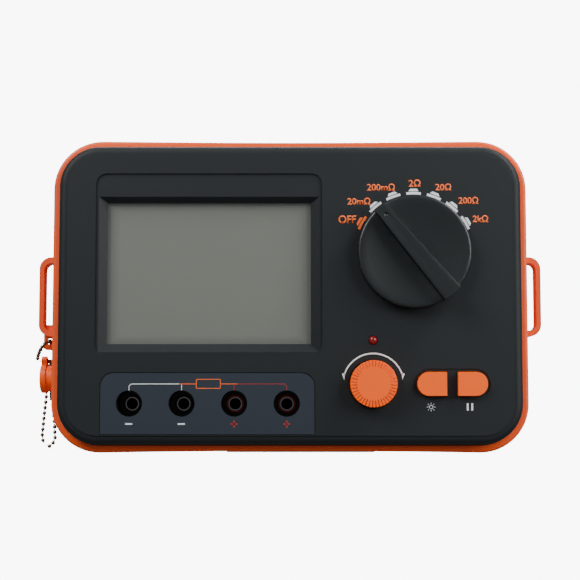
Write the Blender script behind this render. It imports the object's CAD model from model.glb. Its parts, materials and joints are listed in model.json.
"""Bench milliohm meter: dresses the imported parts, prints the panel and sets the studio."""
import json
import logging
import math
from dataclasses import dataclass, field
from enum import Enum

import bpy
from mathutils import Matrix, Vector

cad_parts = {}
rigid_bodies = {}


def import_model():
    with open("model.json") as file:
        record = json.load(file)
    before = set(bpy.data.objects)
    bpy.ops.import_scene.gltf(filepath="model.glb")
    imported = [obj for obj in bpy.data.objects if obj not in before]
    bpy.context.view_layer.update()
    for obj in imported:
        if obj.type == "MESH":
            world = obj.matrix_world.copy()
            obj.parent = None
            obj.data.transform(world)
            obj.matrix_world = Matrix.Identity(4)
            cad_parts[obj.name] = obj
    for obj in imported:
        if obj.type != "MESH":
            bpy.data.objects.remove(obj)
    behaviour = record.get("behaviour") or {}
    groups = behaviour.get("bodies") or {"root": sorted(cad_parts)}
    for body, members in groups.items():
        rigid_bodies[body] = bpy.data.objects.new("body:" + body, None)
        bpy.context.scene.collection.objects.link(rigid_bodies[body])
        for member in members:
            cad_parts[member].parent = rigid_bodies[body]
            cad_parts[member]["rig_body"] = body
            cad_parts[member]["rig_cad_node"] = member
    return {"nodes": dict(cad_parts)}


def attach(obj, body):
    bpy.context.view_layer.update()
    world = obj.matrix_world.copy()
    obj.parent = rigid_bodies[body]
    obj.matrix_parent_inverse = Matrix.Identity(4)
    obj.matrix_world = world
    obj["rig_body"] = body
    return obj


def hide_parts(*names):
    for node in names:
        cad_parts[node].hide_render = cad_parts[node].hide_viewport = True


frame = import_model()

LOG = logging.getLogger("milliohm_meter")
MM = 0.001
PANEL_Y = -26.5 * MM
PLATE_Y = -26.4 * MM
PANEL_MID_Z = 54.0 * MM
INK_PROUD = 0.015 * MM
INK_THICK = 0.03 * MM
MERGE_GAP = 0.004 * MM
FLAT_DEG = 1.0
SHARP_DEG = 32.0
EDGE_STEPS = 3
MANY_SIDES = 8
LETTER_WEIGHT = 0.02
LETTER_STEPS = 6


def linear(hex_code: str) -> tuple[float, float, float, float]:
    """Turns an sRGB hex colour into linear light.

    Args:
        hex_code: Six hex digits, with or without a leading hash.

    Returns:
        Red, green, blue and alpha, from 0 to 1.
    """
    digits = hex_code.lstrip("#")
    parts = [int(digits[i:i + 2], 16) / 255 for i in (0, 2, 4)]
    r, g, b = (p / 12.92 if p <= 0.04045 else ((p + 0.055) / 1.055) ** 2.4 for p in parts)
    return (r, g, b, 1.0)


def toned(colour: tuple[float, float, float, float], factor: float) -> tuple[float, float, float, float]:
    """Returns the colour made lighter or darker by a factor."""
    return (*(min(1.0, c * factor) for c in colour[:3]), 1.0)


def add_node(
    tree: bpy.types.NodeTree, kind: str, settings: dict | None = None, links: dict | None = None
) -> bpy.types.Node:
    """Adds a shader node with its settings and links.

    Args:
        tree: The material's node tree.
        kind: The node's type name.
        settings: Socket names or positions, or property names, with their values.
        links: Socket names or positions with the output that feeds each.

    Returns:
        The new node.
    """
    made = tree.nodes.new(kind)
    for key, value in (settings or {}).items():
        if isinstance(key, int) or key in made.inputs:
            made.inputs[key].default_value = value
        else:
            setattr(made, key, value)
    for key, source in (links or {}).items():
        tree.links.new(source, made.inputs[key])
    return made


def blank_material(name: str) -> tuple[bpy.types.Material, bpy.types.NodeTree]:
    """Makes an empty node material.

    Args:
        name: The material's name.

    Returns:
        The material and its node tree.
    """
    made = bpy.data.materials.new(name)
    made.use_nodes = True
    made.node_tree.nodes.clear()
    return made, made.node_tree


@dataclass(frozen=True)
class Moulded:
    """Injection-moulded plastic or rubber: a fine spark-eroded grain and a slightly uneven tone."""

    name: str
    colour: str
    roughness: float = 0.5
    grain_mm: float = 0.35
    grain_depth_mm: float = 0.012
    mottle: float = 0.05
    ior: float = 1.53
    glow: float = 0.0

    def build(self) -> bpy.types.Material:
        """Builds the material.

        Returns:
            The node material.
        """
        made, tree = blank_material(self.name)
        base = linear(self.colour)
        spot = add_node(tree, "ShaderNodeTexCoord").outputs["Object"]
        cloud = add_node(
            tree, "ShaderNodeTexNoise", {"Scale": 1 / (18 * MM), "Detail": 3.0}, {"Vector": spot}
        )
        tone = add_node(
            tree, "ShaderNodeMix",
            {"data_type": "RGBA", 6: toned(base, 1 - self.mottle), 7: toned(base, 1 + self.mottle)},
            {0: cloud.outputs["Fac"]},
        )
        grain = add_node(
            tree, "ShaderNodeTexNoise", {"Scale": 1 / (self.grain_mm * MM), "Detail": 2.0}, {"Vector": spot}
        )
        sheen = add_node(
            tree, "ShaderNodeMapRange",
            {"To Min": self.roughness - 0.05, "To Max": self.roughness + 0.05},
            {"Value": grain.outputs["Fac"]},
        )
        bump = add_node(
            tree, "ShaderNodeBump", {"Strength": 0.6, "Distance": self.grain_depth_mm * MM},
            {"Height": grain.outputs["Fac"]},
        )
        skin = add_node(
            tree, "ShaderNodeBsdfPrincipled", {"IOR": self.ior},
            {
                "Base Color": tone.outputs[2], "Roughness": sheen.outputs["Result"],
                "Normal": bump.outputs["Normal"],
            },
        )
        if self.glow:
            skin.inputs["Emission Color"].default_value = base
            skin.inputs["Emission Strength"].default_value = self.glow
        add_node(tree, "ShaderNodeOutputMaterial", {}, {"Surface": skin.outputs["BSDF"]})
        return made


@dataclass(frozen=True)
class Metal:
    """Bare or plated metal: fine drawn lines along one axis and a slightly uneven polish."""

    name: str
    colour: str
    roughness: float = 0.3
    line_mm: float = 0.15
    stretch: tuple[float, float, float] = (1.0, 1.0, 12.0)

    def build(self) -> bpy.types.Material:
        """Builds the material.

        Returns:
            The node material.
        """
        made, tree = blank_material(self.name)
        base = linear(self.colour)
        spot = add_node(tree, "ShaderNodeTexCoord").outputs["Object"]
        drawn = add_node(
            tree, "ShaderNodeMapping", {"Scale": tuple(1 / s for s in self.stretch)}, {"Vector": spot}
        )
        lines = add_node(
            tree, "ShaderNodeTexNoise", {"Scale": 1 / (self.line_mm * MM), "Detail": 2.0},
            {"Vector": drawn.outputs["Vector"]},
        )
        polish = add_node(
            tree, "ShaderNodeMapRange",
            {"To Min": self.roughness * 0.75, "To Max": self.roughness * 1.25},
            {"Value": lines.outputs["Fac"]},
        )
        tone = add_node(
            tree, "ShaderNodeMix", {"data_type": "RGBA", 6: toned(base, 0.9), 7: base},
            {0: lines.outputs["Fac"]},
        )
        bump = add_node(
            tree, "ShaderNodeBump", {"Strength": 0.3, "Distance": 0.004 * MM},
            {"Height": lines.outputs["Fac"]},
        )
        skin = add_node(
            tree, "ShaderNodeBsdfPrincipled", {"Metallic": 1.0},
            {
                "Base Color": tone.outputs[2], "Roughness": polish.outputs["Result"],
                "Normal": bump.outputs["Normal"],
            },
        )
        add_node(tree, "ShaderNodeOutputMaterial", {}, {"Surface": skin.outputs["BSDF"]})
        return made


@dataclass(frozen=True)
class ClearWindow:
    """Hard-coated clear acrylic, thin enough to be seen straight through."""

    name: str
    tint: str
    alpha: float = 0.12

    def build(self) -> bpy.types.Material:
        """Builds the material.

        Returns:
            The node material.
        """
        made, tree = blank_material(self.name)
        spot = add_node(tree, "ShaderNodeTexCoord").outputs["Object"]
        wipe = add_node(tree, "ShaderNodeTexNoise", {"Scale": 1 / (9 * MM), "Detail": 4.0}, {"Vector": spot})
        haze = add_node(
            tree, "ShaderNodeMapRange", {"To Min": 0.1, "To Max": 0.16}, {"Value": wipe.outputs["Fac"]}
        )
        skin = add_node(
            tree, "ShaderNodeBsdfPrincipled",
            {"Base Color": linear(self.tint), "IOR": 1.49, "Alpha": self.alpha},
            {"Roughness": haze.outputs["Result"]},
        )
        add_node(tree, "ShaderNodeOutputMaterial", {}, {"Surface": skin.outputs["BSDF"]})
        return made


@dataclass(frozen=True)
class LitPaper:
    """Backdrop paper lit from behind until it is plain white."""

    name: str
    colour: str
    strength: float

    def build(self) -> bpy.types.Material:
        """Builds the material.

        Returns:
            The node material.
        """
        made, tree = blank_material(self.name)
        spot = add_node(tree, "ShaderNodeTexCoord").outputs["Object"]
        pulp = add_node(tree, "ShaderNodeTexNoise", {"Scale": 1 / (4 * MM), "Detail": 2.0}, {"Vector": spot})
        tone = add_node(
            tree, "ShaderNodeMix",
            {"data_type": "RGBA", 6: toned(linear(self.colour), 0.99), 7: linear(self.colour)},
            {0: pulp.outputs["Fac"]},
        )
        light = add_node(tree, "ShaderNodeEmission", {"Strength": self.strength}, {"Color": tone.outputs[2]})
        add_node(tree, "ShaderNodeOutputMaterial", {}, {"Surface": light.outputs["Emission"]})
        return made


@dataclass(frozen=True)
class DisplayCell:
    """Unlit liquid crystal cell: an even warm grey that darkens a little towards its edges."""

    name: str
    middle: str
    edge: str
    centre_mm: tuple[float, float, float]
    half_mm: tuple[float, float]

    def build(self) -> bpy.types.Material:
        """Builds the material.

        Returns:
            The node material.
        """
        made, tree = blank_material(self.name)
        spot = add_node(tree, "ShaderNodeTexCoord").outputs["Object"]
        scale = (1 / (self.half_mm[0] * MM), 1.0, 1 / (self.half_mm[1] * MM))
        shift = tuple(-c * MM * s for c, s in zip(self.centre_mm, scale))
        placed = add_node(tree, "ShaderNodeMapping", {"Location": shift, "Scale": scale}, {"Vector": spot})
        axes = add_node(tree, "ShaderNodeSeparateXYZ", {}, {0: placed.outputs["Vector"]})
        across = add_node(tree, "ShaderNodeMath", {"operation": "ABSOLUTE"}, {0: axes.outputs["X"]})
        along = add_node(tree, "ShaderNodeMath", {"operation": "ABSOLUTE"}, {0: axes.outputs["Z"]})
        far = add_node(
            tree, "ShaderNodeMath", {"operation": "MAXIMUM"}, {0: across.outputs[0], 1: along.outputs[0]}
        )
        fade = add_node(
            tree, "ShaderNodeMapRange",
            {"From Min": 0.86, "From Max": 1.0, "interpolation_type": "SMOOTHSTEP"},
            {"Value": far.outputs[0]},
        )
        tone = add_node(
            tree, "ShaderNodeMix", {"data_type": "RGBA", 6: linear(self.middle), 7: linear(self.edge)},
            {0: fade.outputs["Result"]},
        )
        frost = add_node(
            tree, "ShaderNodeTexNoise", {"Scale": 1 / (0.3 * MM), "Detail": 1.0}, {"Vector": spot}
        )
        bump = add_node(
            tree, "ShaderNodeBump", {"Strength": 0.2, "Distance": 0.004 * MM},
            {"Height": frost.outputs["Fac"]},
        )
        skin = add_node(
            tree, "ShaderNodeBsdfPrincipled", {"IOR": 1.5, "Roughness": 0.55},
            {"Base Color": tone.outputs[2], "Normal": bump.outputs["Normal"]},
        )
        add_node(tree, "ShaderNodeOutputMaterial", {}, {"Surface": skin.outputs["BSDF"]})
        return made


class Finish(Enum):
    """Every finish on the meter."""

    # Case: satin orange ABS with a fine grain that breaks up the highlights
    CASE = Moulded("moulded_abs_orange", "#f25000", 0.46)
    # Knob and button plastic: brighter and smoother, so its edges shine
    KNOB_ORANGE = Moulded("moulded_abs_bright_orange", "#ff6000", 0.46, 0.3, 0.006, 0.03, 1.42)
    # Rubber pad: dull and darker, which sets it off from the case
    PAD = Moulded("moulded_rubber_rust", "#8e2f12", 0.75, 0.5, 0.02, 0.08)
    # Front shell: dark grey ABS whose soft grain keeps reflections low
    SHELL = Moulded("moulded_abs_charcoal", "#0f1619", 0.6, 0.4, 0.014, 0.06, 1.4)
    # Range knob: the same grey a little smoother, with brighter edges
    KNOB_DARK = Moulded("moulded_abs_black", "#131a1c", 0.36, 0.4, 0.008, 0.05)
    # Terminal plate: a printed polycarbonate film, flat and bluish
    PLATE = Moulded("printed_film_slate", "#1a232e", 0.5, 0.25, 0.004, 0.03)
    # Inner plastic: glass-filled nylon, nearly black
    BLACK = Moulded("moulded_nylon_black", "#0b0c0d", 0.5)
    # Insulators of the positive jacks: red rings in the wells
    RED = Moulded("moulded_nylon_red", "#d81e26", 0.4)
    # Lamp: clear tinted epoxy with a small sharp highlight
    LAMP = Moulded("tinted_epoxy_red", "#7c0f12", 0.15, 0.3, 0.001, 0.02, 1.55, 0.03)
    # Rotor and backlight block: plain white acetal
    WHITE = Moulded("moulded_acetal_white", "#e2e2dc", 0.45)
    # Body of the zero control: blue nylon
    BLUE = Moulded("moulded_nylon_blue", "#3b5f8a", 0.4)
    # Circuit board: green solder mask over woven glass
    BOARD = Moulded("solder_mask_green", "#1f6b3a", 0.35, 1.2, 0.02, 0.12)
    # Contact strips: pink silicone, dull
    SILICONE_PINK = Moulded("silicone_pink", "#cf8aa0", 0.6)
    # Seal and feet: black rubber, dull
    RUBBER = Moulded("moulded_rubber_black", "#1c1c1c", 0.8, 0.5, 0.02, 0.1)
    # Cells: shrunk plastic sleeve, glossy
    CELL = Moulded("shrink_sleeve_blue", "#3f6f9f", 0.25, 2.0, 0.01, 0.05)
    # Fuse: drawn glass tube
    FUSE = ClearWindow("fuse_glass", "#cfd8d8", 0.55)
    # Display window: hard-coated acrylic that only dims what is behind it
    WINDOW = ClearWindow("clear_acrylic", "#c9cec9", 0.06)
    # Screws and springs: zinc plated steel
    STEEL = Metal("zinc_plated_steel", "#b4b6b8", 0.32)
    # Bead chain: nickel that has gone a little brown
    NICKEL = Metal("nickel_plated_brass", "#75685f", 0.3)
    # Jack sleeves: black nickel, so only their rims catch light
    SLEEVE = Metal("black_nickel_brass", "#a3a3a6", 0.3)
    # Inside of a jack: sooty oxide that swallows the light
    BORE = Moulded("oxidised_bore", "#060606", 0.7)
    # Wipers and fuse clips: bare drawn brass
    BRASS = Metal("drawn_brass", "#c8a660", 0.3)
    # Display: unlit cell, warm grey with darker edges
    DISPLAY = DisplayCell("display_cell_grey", "#4f554b", "#3a3f37", (-27.7, 0.0, 61.2), (34.8, 24.2))
    # Pad print: slightly proud matt inks
    INK_WHITE = Moulded("pad_print_white", "#dfe3e6", 0.6, 0.2, 0.002, 0.02)
    INK_ORANGE = Moulded("pad_print_orange", "#f2681c", 0.6, 0.2, 0.002, 0.02)
    INK_RED = Moulded("pad_print_red", "#8f1c22", 0.6, 0.2, 0.002, 0.02)
    # Studio paper: plain white behind and under the meter
    PAPER = LitPaper("studio_paper", "#ffffff", 9.0)

    def material(self) -> bpy.types.Material:
        """Returns this finish's material, built once."""
        found = bpy.data.materials.get(self.value.name)
        return found if found else self.value.build()


def pick_only(*objects: bpy.types.Object) -> None:
    """Selects these objects alone and makes the first one active.

    Args:
        objects: The objects to select.
    """
    bpy.ops.object.select_all(action="DESELECT")
    for item in objects:
        item.select_set(True)
    bpy.context.view_layer.objects.active = objects[0]


def dress(item: bpy.types.Object, finish: Finish) -> None:
    """Puts one finish all over a piece.

    Args:
        item: The piece.
        finish: Its finish.
    """
    item.data.materials.clear()
    item.data.materials.append(finish.material())


@dataclass
class SubAssembly:
    """A group of the meter's parts on one body."""

    title: str
    body: str
    kept: dict[str, Finish] = field(default_factory=dict)
    softened: dict[str, tuple[Finish, float]] = field(default_factory=dict)
    level_faces: bool = True

    def build(self) -> None:
        """Dresses the kept nodes and makes the softened ones."""
        for name, finish in self.kept.items():
            node = frame["nodes"][name]
            for place in node.material_slots:
                place.material = finish.material()
            if not node.material_slots:
                node.data.materials.append(finish.material())
        for name, (finish, width_mm) in self.softened.items():
            self.soften(name, finish, width_mm)
        LOG.info("%s: %d kept, %d softened", self.title, len(self.kept), len(self.softened))

    def soften(self, name: str, finish: Finish, width_mm: float) -> bpy.types.Object:
        """Makes a copy of a node with moulded edge radii, in its place.

        Args:
            name: The node's name.
            finish: The copy's finish.
            width_mm: The edge radius.

        Returns:
            The copy.
        """
        node = frame["nodes"][name]
        piece = node.copy()
        piece.data = node.data.copy()
        piece.name = f"{name}_moulded"
        piece.parent = None
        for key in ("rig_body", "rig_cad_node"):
            if key in piece:
                del piece[key]
        bpy.context.scene.collection.objects.link(piece)
        pick_only(piece)
        bpy.ops.object.mode_set(mode="EDIT")
        bpy.ops.mesh.select_all(action="SELECT")
        bpy.ops.mesh.remove_doubles(threshold=MERGE_GAP)
        bpy.ops.mesh.dissolve_limited(angle_limit=math.radians(FLAT_DEG))
        bpy.ops.mesh.select_all(action="DESELECT")
        bpy.ops.mesh.select_mode(type="FACE")
        bpy.ops.mesh.select_face_by_sides(number=MANY_SIDES, type="GREATER")
        bpy.ops.mesh.quads_convert_to_tris(quad_method="BEAUTY", ngon_method="BEAUTY")
        bpy.ops.object.mode_set(mode="OBJECT")
        edge = piece.modifiers.new("edge_radius", "BEVEL")
        edge.width = width_mm * MM
        edge.segments = EDGE_STEPS
        edge.limit_method = "ANGLE"
        edge.angle_limit = math.radians(SHARP_DEG)
        edge.use_clamp_overlap = True
        bpy.ops.object.modifier_apply(modifier=edge.name)
        bpy.ops.object.shade_smooth_by_angle(angle=math.radians(SHARP_DEG))
        if self.level_faces:
            flat = piece.modifiers.new("level_faces", "WEIGHTED_NORMAL")
            flat.keep_sharp = True
            flat.weight = 100
            bpy.ops.object.modifier_apply(modifier=flat.name)
        dress(piece, finish)
        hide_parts(name)
        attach(piece, self.body)
        return piece


@dataclass
class Terminals(SubAssembly):
    """The terminal plate and its jacks, with dark bores."""

    jack_xs: tuple[float, ...] = (-54.5, -36.7, -18.9, -1.1)
    jack_z: float = 16.8
    bore_r: float = 2.04

    def soften(self, name: str, finish: Finish, width_mm: float) -> bpy.types.Object:
        """Softens a node and darkens the inside of the jack sleeves.

        Args:
            name: The node's name.
            finish: The copy's finish.
            width_mm: The edge radius.

        Returns:
            The copy.
        """
        piece = super().soften(name, finish, width_mm)
        if name == "jack_sleeves":
            piece.data.materials.append(Finish.BORE.material())
            for face in piece.data.polygons:
                x, z = face.center.x / MM, face.center.z / MM - self.jack_z
                off = min(math.hypot(x - jack, z) for jack in self.jack_xs)
                spots = [piece.data.vertices[v].co / MM for v in face.vertices]
                corner = min(
                    max(math.hypot(p.x - jack, p.z - self.jack_z) for p in spots) for jack in self.jack_xs
                )
                face.material_index = 1 if off < self.bore_r and corner < self.bore_r else 0
        return piece


@dataclass
class PanelPrint:
    """The printed marks on the front panel and on the terminal plate."""

    body: str = "meter"
    knob_xy: tuple[float, float] = (42.3, 14.2)
    mark_r: float = 20.4
    mark_w: float = 0.85
    mark_l: float = 5.0
    bump_base: float = 3.5
    bump_top: float = 2.2
    bump_h: float = 0.85
    bump_gap: float = 0.24
    mark_degs: tuple[int, ...] = (150, 130, 110, 90, 70, 50, 30)
    zero_xy: tuple[float, float] = (28.2, -30.6)
    arrow_r: float = 10.3
    arrow_degs: tuple[int, int] = (18, 162)
    tip_deg: int = 76
    tip_lean: int = 6
    tip_size: tuple[float, float, float] = (1.1, 2.1, 0.05)
    sun_xy: tuple[float, float] = (47.7, -38.4)
    sun_r: float = 0.6
    sun_w: float = 0.16
    ray_r: float = 1.25
    ray_size: tuple[float, float] = (0.5, 0.14)
    rays: int = 8
    pause_xy: tuple[float, float] = (60.8, -38.35)
    pause_off: float = 0.75
    pause_size: tuple[float, float] = (0.65, 2.5)
    line_w: float = 0.5
    thin_w: float = 0.24
    jack_y: float = -37.2
    line_y: float = -30.6
    well_r: float = 4.45
    bend_r: float = 1.2
    lead_ends: tuple[float, float] = (-37.5, -17.8)
    resistor_x: tuple[float, float] = (-31.7, -23.6)
    resistor_y: tuple[float, float] = (-29.05, -32.1)
    sign_y: float = -44.1
    sign_l: float = 2.4
    sign_w: float = 0.5
    jack_xs: tuple[float, ...] = (-54.5, -36.7, -18.9, -1.1)
    made: dict[Finish, list[bpy.types.Object]] = field(default_factory=dict)
    labels: tuple[tuple[str, float, float, float, float], ...] = (
        ("OFF", 16.6, 22.6, 24.1, 26.9),
        ("20mΩ", 19.6, 27.5, 30.6, 33.0),
        ("200mΩ", 26.3, 35.9, 35.4, 37.9),
        ("2Ω", 40.6, 44.7, 36.8, 39.3),
        ("20Ω", 49.75, 55.2, 35.5, 37.9),
        ("200Ω", 57.6, 64.4, 30.85, 33.3),
        ("2kΩ", 62.4, 67.7, 24.55, 27.0),
    )

    def build(self) -> None:
        """Prints all the marks and joins them by ink and surface."""
        self.dial()
        self.zero_arrow()
        self.sun()
        self.pause()
        panel = self.made
        self.finish_inks(panel, "panel", PANEL_Y)
        self.made = {}
        self.circuit()
        self.finish_inks(self.made, "plate", PLATE_Y)

    def keep(self, item: bpy.types.Object, ink: Finish, x: float, y: float, turn: float = 0.0) -> None:
        """Turns a flat mark, moves it to its place on the panel and keeps it.

        Args:
            item: The mark, flat on its own XY plane, in millimetres.
            ink: The print colour.
            x: Place across the panel in millimetres.
            y: Place up the panel in millimetres.
            turn: Degrees, counter-clockwise as seen from the front.
        """
        item.data.transform(Matrix.Translation((x, y, 0)) @ Matrix.Rotation(math.radians(turn), 4, "Z"))
        self.made.setdefault(ink, []).append(item)

    def finish_inks(self, made: dict[Finish, list[bpy.types.Object]], where: str, level: float) -> None:
        """Joins each ink's marks, gives them thickness and stands them on their surface.

        Args:
            made: The marks by ink.
            where: The surface's name.
            level: The surface's Y in metres.
        """
        for ink, marks in made.items():
            pick_only(*marks)
            bpy.ops.object.join()
            piece = bpy.context.view_layer.objects.active
            piece.name = f"{where}_{ink.value.name}"
            piece.data.name = piece.name
            upright = Matrix((
                (MM, 0, 0, 0),
                (0, 0, -MM, level - INK_PROUD),
                (0, MM, 0, PANEL_MID_Z),
                (0, 0, 0, 1),
            ))
            piece.data.transform(upright)
            thick = piece.modifiers.new("ink_film", "SOLIDIFY")
            thick.thickness = INK_THICK
            thick.offset = 0
            bpy.ops.object.modifier_apply(modifier=thick.name)
            dress(piece, ink)
            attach(piece, self.body)
            LOG.info("printed %s with %d marks", piece.name, len(marks))

    def bar(self, w: float, h: float, top: float | None = None) -> bpy.types.Object:
        """Makes a flat bar, or a trapezoid when its top edge has another width.

        Args:
            w: Width of the lower edge.
            h: Height.
            top: Width of the upper edge, or None for a plain bar.

        Returns:
            The flat mark, about its middle.
        """
        bpy.ops.object.select_all(action="DESELECT")
        bpy.ops.mesh.primitive_plane_add(size=1)
        item = bpy.context.object
        bpy.ops.transform.resize(value=(w, h, 1))
        bpy.ops.object.transform_apply(location=False, rotation=False, scale=True)
        if top is not None:
            bpy.ops.object.mode_set(mode="EDIT")
            bpy.ops.mesh.select_mode(type="VERT")
            bpy.ops.mesh.select_all(action="DESELECT")
            bpy.ops.object.mode_set(mode="OBJECT")
            for v in item.data.vertices:
                v.select = v.co.y > 0
            bpy.ops.object.mode_set(mode="EDIT")
            bpy.ops.transform.resize(value=(top / w, 1, 1), center_override=(0, h / 2, 0))
            bpy.ops.object.mode_set(mode="OBJECT")
        return item

    def arc(self, r: float, w: float, start: float, end: float, steps: int = 24) -> bpy.types.Object:
        """Spins a short edge into a flat arc about the origin.

        Args:
            r: Middle radius.
            w: Line width.
            start: First angle in degrees.
            end: Last angle in degrees.
            steps: Number of pieces along the arc.

        Returns:
            The flat mark.
        """
        bpy.ops.object.select_all(action="DESELECT")
        bpy.ops.mesh.primitive_plane_add(size=w)
        item = bpy.context.object
        bpy.ops.object.mode_set(mode="EDIT")
        bpy.ops.mesh.select_mode(type="VERT")
        bpy.ops.mesh.select_all(action="DESELECT")
        bpy.ops.object.mode_set(mode="OBJECT")
        for v in item.data.vertices:
            v.select = v.co.y > 0
        bpy.ops.object.mode_set(mode="EDIT")
        bpy.ops.mesh.delete(type="VERT")
        bpy.ops.mesh.select_all(action="SELECT")
        bpy.ops.transform.translate(value=(r, w / 2, 0))
        bpy.ops.mesh.spin(
            steps=steps, angle=math.radians(end - start), center=(0, 0, 0), axis=(0, 0, -1), dupli=False
        )
        bpy.ops.mesh.select_all(action="SELECT")
        bpy.ops.mesh.remove_doubles(threshold=1e-5)
        bpy.ops.object.mode_set(mode="OBJECT")
        item.data.transform(Matrix.Rotation(math.radians(start), 4, "Z"))
        return item

    def lettering(self, words: str, x0: float, x1: float, y0: float, y1: float, ink: Finish) -> None:
        """Prints a word that fills a box.

        Args:
            words: The letters.
            x0: Left edge.
            x1: Right edge.
            y0: Lower edge.
            y1: Upper edge.
            ink: The print colour.
        """
        bpy.ops.object.select_all(action="DESELECT")
        bpy.ops.object.text_add()
        item = bpy.context.object
        item.data.body = words
        item.data.size = 1.0
        item.data.offset = LETTER_WEIGHT
        item.data.resolution_u = LETTER_STEPS
        bpy.ops.object.convert(target="MESH")
        item = bpy.context.object
        xs = [v.co.x for v in item.data.vertices]
        ys = [v.co.y for v in item.data.vertices]
        sx = (x1 - x0) / (max(xs) - min(xs))
        sy = (y1 - y0) / (max(ys) - min(ys))
        to_corner = Matrix.Translation((-min(xs), -min(ys), 0))
        item.data.transform(Matrix.Translation((x0, y0, 0)) @ Matrix.Diagonal((sx, sy, 1, 1)) @ to_corner)
        self.keep(item, ink, 0, 0)

    def dial(self) -> None:
        """Prints the range marks and their values."""
        cx, cy = self.knob_xy
        half = math.degrees(self.mark_l / 2 / self.mark_r)
        for i, deg in enumerate(self.mark_degs):
            ink = Finish.INK_ORANGE if i == 0 else Finish.INK_WHITE
            self.keep(self.arc(self.mark_r, self.mark_w, deg - half, deg + half), ink, cx, cy)
            out = self.mark_r + self.mark_w / 2 + self.bump_gap + self.bump_h / 2
            a = math.radians(deg)
            bump = self.bar(self.bump_base, self.bump_h, self.bump_top)
            self.keep(bump, ink, cx + out * math.cos(a), cy + out * math.sin(a), deg - 90)
        for words, x0, x1, y0, y1 in self.labels:
            self.lettering(words, x0, x1, y0, y1, Finish.INK_ORANGE)

    def zero_arrow(self) -> None:
        """Prints the double arrow over the zero knob."""
        cx, cy = self.zero_xy
        self.keep(self.arc(self.arrow_r, self.line_w, *self.arrow_degs, 48), Finish.INK_WHITE, cx, cy)
        for side in (-1, 1):
            a = math.radians(90 - side * self.tip_deg)
            tip = self.bar(*self.tip_size)
            x, y = cx + self.arrow_r * math.cos(a), cy + self.arrow_r * math.sin(a)
            self.keep(tip, Finish.INK_WHITE, x, y, 180 - side * self.tip_lean)

    def sun(self) -> None:
        """Prints the backlight sign: a ring with eight rays."""
        cx, cy = self.sun_xy
        self.keep(self.arc(self.sun_r, self.sun_w, 0, 360, 16), Finish.INK_WHITE, cx, cy)
        step = 360 / self.rays
        for i in range(self.rays):
            a = math.radians(i * step)
            x, y = cx + self.ray_r * math.cos(a), cy + self.ray_r * math.sin(a)
            self.keep(self.bar(*self.ray_size), Finish.INK_WHITE, x, y, i * step)

    def pause(self) -> None:
        """Prints the hold sign: two upright bars."""
        cx, cy = self.pause_xy
        for side in (-1, 1):
            self.keep(self.bar(*self.pause_size), Finish.INK_WHITE, cx + side * self.pause_off, cy)

    def circuit(self) -> None:
        """Prints the measuring line, the resistor and the signs on the terminal plate."""
        y, w = self.line_y, self.thin_w
        x0, x1, x2, x3 = self.jack_xs
        top = self.jack_y + self.well_r
        white, orange, red = Finish.INK_WHITE, Finish.INK_ORANGE, Finish.INK_RED
        bend = self.bend_r
        near, far = self.lead_ends
        left, right = self.resistor_x
        upper, lower = self.resistor_y
        runs = [
            (x0 + bend, near, white), (near, left, orange), (right, far, orange), (far, x3 - bend, red),
        ]
        for start, end, ink in runs:
            self.keep(self.bar(end - start, w), ink, (start + end) / 2, y)
        self.keep(self.arc(bend, w, 90, 180, 8), white, x0 + bend, y - bend)
        self.keep(self.arc(bend, w, 0, 90, 8), red, x3 - bend, y - bend)
        for x, ink, high in ((x0, white, y - bend), (x1, white, y), (x2, red, y), (x3, red, y - bend)):
            self.keep(self.bar(w, high - top), ink, x, (high + top) / 2)
        for rail in (upper, lower):
            self.keep(self.bar(right - left, w), orange, (left + right) / 2, rail)
        for side in (left, right):
            self.keep(self.bar(w, upper - lower + w), orange, side, (upper + lower) / 2)
        for x, ink in ((x0, white), (x1, white), (x2, red), (x3, red)):
            self.keep(self.bar(self.sign_l, self.sign_w), ink, x, self.sign_y)
        for x in (x2, x3):
            self.keep(self.bar(self.sign_w, self.sign_l), red, x, self.sign_y)


@dataclass(frozen=True)
class Softbox:
    """A square soft light: name, place and side in millimetres, watts and turn in degrees."""

    name: str
    at: tuple[float, float, float]
    size: float
    power: float
    turn: tuple[float, float, float]


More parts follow.
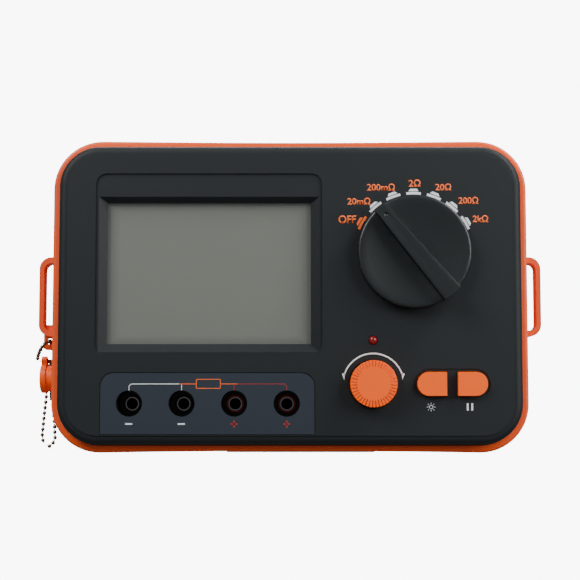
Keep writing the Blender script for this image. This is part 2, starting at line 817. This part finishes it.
@dataclass
class Studio:
    """The pale floor with walls all round, the soft lights and the camera."""

    lens_mm: float = 88.1
    pitch_deg: float = 5.0
    camera_mm: tuple[float, float, float] = (0.0, -507.7, 13.2)
    floor_back_mm: float = 700.0
    floor_half_mm: float = 3000.0
    wall_mm: float = 2000.0
    curve_mm: float = 400.0
    curve_steps: int = 16
    air_strength: float = 0.25
    softboxes: tuple[Softbox, ...] = (
        Softbox("key_softbox", (-420, -420, 520), 420, 5.4, (55, 0, -45)),
        Softbox("fill_softbox", (520, -380, 260), 420, 3.6, (70, 0, 54)),
        Softbox("top_softbox", (0, 330, 560), 420, 2.9, (-28, 0, 0)),
        Softbox("edge_softbox", (330, -140, 420), 120, 1.6, (43.5, 0, 71.6)),
    )

    def build(self) -> None:
        """Sets up the floor, the lights and the camera."""
        self.floor()
        for box in self.softboxes:
            self.light(box)
        self.sky()
        self.camera()
        LOG.info("studio set")

    def floor(self) -> None:
        """Makes the floor, which curves up into a wall on every side."""
        bpy.ops.object.select_all(action="DESELECT")
        half, back = self.floor_half_mm * MM, self.floor_back_mm * MM
        bpy.ops.mesh.primitive_plane_add(size=2 * half, location=(0, back - half, 0))
        bpy.ops.object.transform_apply(location=True, rotation=False, scale=False)
        sweep = bpy.context.object
        sweep.name = "studio_sweep"
        bpy.ops.object.mode_set(mode="EDIT")
        bpy.ops.mesh.select_mode(type="EDGE")
        bpy.ops.mesh.select_all(action="SELECT")
        bpy.ops.mesh.extrude_edges_move(TRANSFORM_OT_translate={"value": (0, 0, self.wall_mm * MM)})
        bpy.ops.object.mode_set(mode="OBJECT")
        curve = sweep.modifiers.new("curve", "BEVEL")
        curve.width = self.curve_mm * MM
        curve.segments = self.curve_steps
        pick_only(sweep)
        bpy.ops.object.modifier_apply(modifier=curve.name)
        bpy.ops.object.shade_smooth()
        dress(sweep, Finish.PAPER)
        sweep.visible_diffuse = False
        sweep.visible_glossy = False

    def light(self, box: Softbox) -> None:
        """Hangs one softbox.

        Args:
            box: The softbox.
        """
        lamp = bpy.data.lights.new(box.name, "AREA")
        lamp.shape = "SQUARE"
        lamp.size = box.size * MM
        lamp.energy = box.power
        item = bpy.data.objects.new(box.name, lamp)
        item.location = Vector(box.at) * MM
        item.rotation_euler = [math.radians(t) for t in box.turn]
        bpy.context.scene.collection.objects.link(item)

    def sky(self) -> None:
        """Fills the room with even white light."""
        world = bpy.data.worlds.new("studio_air")
        world.use_nodes = True
        tree = world.node_tree
        tree.nodes.clear()
        air = add_node(
            tree, "ShaderNodeBackground", {"Color": (1.0, 1.0, 1.0, 1.0), "Strength": self.air_strength}
        )
        add_node(tree, "ShaderNodeOutputWorld", {}, {"Surface": air.outputs["Background"]})
        bpy.context.scene.world = world

    def camera(self) -> None:
        """Places the camera in front of the panel, a little over the floor."""
        cam = bpy.data.cameras.new("front_camera")
        cam.lens = self.lens_mm
        cam.sensor_width = 36.0
        cam.clip_start = 0.01
        item = bpy.data.objects.new("front_camera", cam)
        item.location = Vector(self.camera_mm) * MM
        item.rotation_euler = (math.radians(90 + self.pitch_deg), 0, 0)
        bpy.context.scene.collection.objects.link(item)
        bpy.context.scene.camera = item


def sub_assemblies() -> list[SubAssembly]:
    """Lists the meter's sub-assemblies with their finishes.

    Returns:
        The sub-assemblies, in building order.
    """
    f = Finish
    return [
        SubAssembly("case", "meter", {
            "case_seal": f.RUBBER, "cover_screws": f.STEEL, "case_screws": f.STEEL, "stand_pins": f.STEEL,
            "rubber_feet": f.RUBBER,
        }, {
            "rear_case": (f.CASE, 0.35), "front_shell": (f.SHELL, 0.3), "battery_cover": (f.CASE, 0.25),
            "base_pad": (f.PAD, 0.25),
        }),
        SubAssembly("display", "meter", {
            "lcd_window": f.WINDOW, "lcd_glass": f.DISPLAY, "lcd_holder": f.BLACK, "lcd_backlight": f.WHITE,
            "contact_strips": f.SILICONE_PINK,
        }),
        SubAssembly("board", "meter", {
            "main_board": f.BOARD, "board_parts": f.BLACK, "board_screws": f.STEEL, "key_switches": f.STEEL,
            "pot_body": f.BLUE, "fuse": f.FUSE, "fuse_clips": f.BRASS, "detent_ring": f.STEEL,
            "status_lamp": f.LAMP,
        }),
        Terminals("terminals", "meter", {
            "terminal_plate": f.PLATE, "terminal_block": f.BLACK, "power_socket": f.BLACK,
        }, {
            "black_insulators": (f.BLACK, 0.12), "red_insulators": (f.RED, 0.1),
            "jack_sleeves": (f.SLEEVE, 0.06),
        }),
        SubAssembly("batteries", "meter", {
            "battery_box": f.BLACK, "battery_cells": f.CELL, "battery_contacts": f.NICKEL,
            "battery_leads": f.RED,
        }),
        SubAssembly("chain", "meter", {"ball_chain": f.NICKEL, "chain_clasp": f.NICKEL}),
        SubAssembly("range switch", "range_switch", {
            "range_rotor": f.WHITE, "wiper_contacts": f.BRASS, "detent_balls": f.STEEL,
            "detent_springs": f.STEEL,
        }, {"range_knob": (f.KNOB_DARK, 0.35)}, level_faces=False),
        SubAssembly("zero control", "zero_control", {"pot_shaft": f.STEEL},
                    {"zero_knob": (f.KNOB_ORANGE, 0.12)}),
        SubAssembly("backlight key", "backlight_key", {"backlight_plunger": f.BLACK},
                    {"backlight_button": (f.KNOB_ORANGE, 0.45)}),
        SubAssembly("hold key", "hold_key", {"hold_plunger": f.BLACK},
                    {"hold_button": (f.KNOB_ORANGE, 0.45)}),
        SubAssembly("stand", "stand", {}, {"tilt_stand": (f.CASE, 0.4)}),
        SubAssembly("cap", "cap", {}, {"socket_cap": (f.KNOB_ORANGE, 0.25)}),
    ]


def main() -> None:
    """Builds the whole scene."""
    logging.basicConfig(level=logging.INFO, format="%(name)s: %(message)s")
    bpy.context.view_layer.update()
    for group in sub_assemblies():
        group.build()
    PanelPrint().build()
    Studio().build()
    LOG.info("built")


if __name__ == "__main__":
    main()
